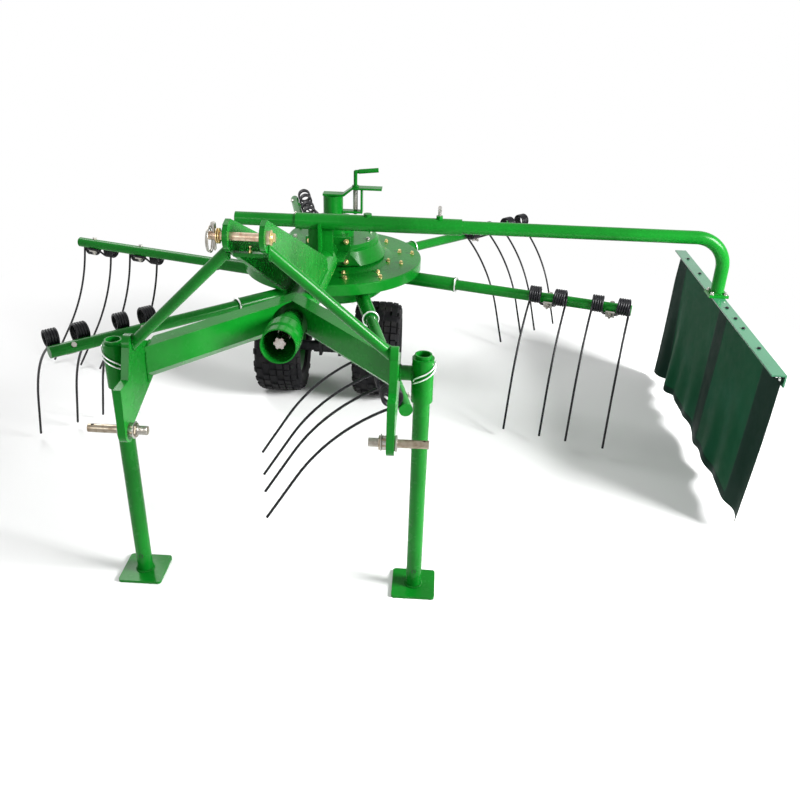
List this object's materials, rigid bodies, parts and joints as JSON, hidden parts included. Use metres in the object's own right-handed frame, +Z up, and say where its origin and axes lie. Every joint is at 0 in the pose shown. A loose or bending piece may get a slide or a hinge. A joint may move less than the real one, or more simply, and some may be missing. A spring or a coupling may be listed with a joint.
{
  "type": "rotary rake",
  "caption": "Three-point rotary hay rake: one rotor with six double-tined arms, a swath curtain on a sliding boom, jack legs and two wheels.",
  "frame": {"origin": "middle of the footprint on the ground", "axes": "+Y from the tractor linkage back to the rotor (the rake travels towards -Y), +X towards the swath curtain, +Z up"},
  "size_m": [2.7792, 2.825, 1.14],
  "materials": {
    "green_paint": "gloss paint",
    "green_paint_dark": "gloss paint",
    "zinc": "zinc plated",
    "spring_black": "satin black",
    "shaft_steel": "machined",
    "tyre_rubber": "matte",
    "curtain_cloth": "coated tarpaulin"
  },
  "bodies": {
    "root": {"drive_tube": "green_paint", "pto_guard": "green_paint", "right_hitch_plate": "green_paint", "left_hitch_plate": "green_paint", "right_leg_sleeve": "green_paint", "left_leg_sleeve": "green_paint", "right_beam": "green_paint", "left_beam": "green_paint", "right_mast_cheek": "green_paint", "left_mast_cheek": "green_paint", "mast_cross_plate": "green_paint", "right_brace": "green_paint", "left_brace": "green_paint", "gearbox": "green_paint", "column": "green_paint", "crank_bracket": "green_paint", "crank": "green_paint", "boom_sleeve": "green_paint", "lower_link_pins": "zinc", "leg_lock_clips": "zinc", "top_link_pin": "zinc", "boom_tee_bolt": "zinc", "axle": "spring_black", "wheel_strut": "shaft_steel"},
    "rotor": {"rotor_disc": "green_paint", "cam_housing": "green_paint", "rake_arms": "green_paint", "tines_1": "spring_black", "tines_2": "spring_black", "tines_3": "spring_black", "tines_4": "spring_black", "tines_5": "spring_black", "tines_6": "spring_black", "tine_clamps": "zinc"},
    "pto": {"pto_shaft": "shaft_steel"},
    "left_wheel": {"left_wheel_rim": "green_paint_dark", "left_tyre": "tyre_rubber"},
    "right_wheel": {"right_wheel_rim": "green_paint_dark", "right_tyre": "tyre_rubber"},
    "left_jack": {"left_leg": "green_paint"},
    "right_jack": {"right_leg": "green_paint"},
    "boom_assembly": {"boom": "green_paint", "curtain_bar": "green_paint", "curtain": "curtain_cloth"}
  },
  "joints": [
    {"name": "rotor_spin", "type": "hinge", "parent": "root", "child": "rotor", "pos_m": [-0.11337, 0.17353, 0.559], "axis": [0, 0, 1], "continuous": true},
    {"name": "pto_spin", "type": "hinge", "parent": "root", "child": "pto", "pos_m": [-0.11337, -0.92277, 0.68958], "axis": [0, 0.998, -0.0628], "continuous": true},
    {"name": "left_wheel_spin", "type": "hinge", "parent": "root", "child": "left_wheel", "pos_m": [-0.31337, 0.04953, 0.198], "axis": [1, 0, 0], "continuous": true},
    {"name": "right_wheel_spin", "type": "hinge", "parent": "root", "child": "right_wheel", "pos_m": [0.08663, 0.04953, 0.198], "axis": [1, 0, 0], "continuous": true},
    {"name": "left_jack_slide", "type": "slide", "parent": "root", "child": "left_jack", "axis": [0, 0, 1], "range_m": [0, 0.35]},
    {"name": "right_jack_slide", "type": "slide", "parent": "root", "child": "right_jack", "axis": [0, 0, 1], "range_m": [0, 0.35]},
    {"name": "boom_slide", "type": "slide", "parent": "root", "child": "boom_assembly", "axis": [1, 0, 0], "range_m": [-0.12, 0.25]}
  ],
  "couplings": [
    {"joint": "pto_spin", "follows": "rotor_spin", "ratio": -7.4}
  ]
}
